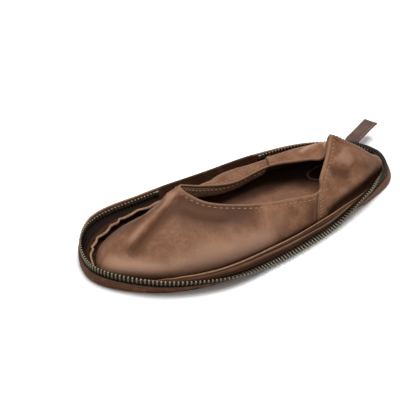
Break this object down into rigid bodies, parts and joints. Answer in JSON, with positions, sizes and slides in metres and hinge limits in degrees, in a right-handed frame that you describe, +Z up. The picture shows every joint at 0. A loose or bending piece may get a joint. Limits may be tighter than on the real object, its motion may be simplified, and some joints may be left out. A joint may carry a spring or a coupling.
{
  "type": "leather travel slipper",
  "caption": "Soft brown leather travel slipper for the left foot, with a hollow upper inside a flat sole tray whose turned-up rim carries half of a metal zip.",
  "frame": {"origin": "on the sole's underside in the floor plane, under the waist, 138 mm behind the toe end of the sole", "axes": "+X from toe to heel, +Y to the inner side of the foot, +Z up from the floor"},
  "size_m": [0.3079, 0.1328, 0.0514],
  "materials": {
    "upper": "soft waxed brown leather, semi-matt",
    "sole": "reddish brown leather, matt",
    "insole": "brown lining leather, matt",
    "patch": "dark brown leather, bare",
    "facing": "thin brown leather with a pale cut edge",
    "strap": "grainy grey-brown leather",
    "tape": "dark brown woven tape",
    "teeth": "dark antique metal"
  },
  "bodies": {
    "root": {"outsole": "sole", "upper": "upper", "insole": "insole", "insole_patch": "patch", "zip_tape": "tape", "zip_teeth": "teeth", "zip_facing": "facing", "pull_strap": "strap"}
  },
  "joints": []
}
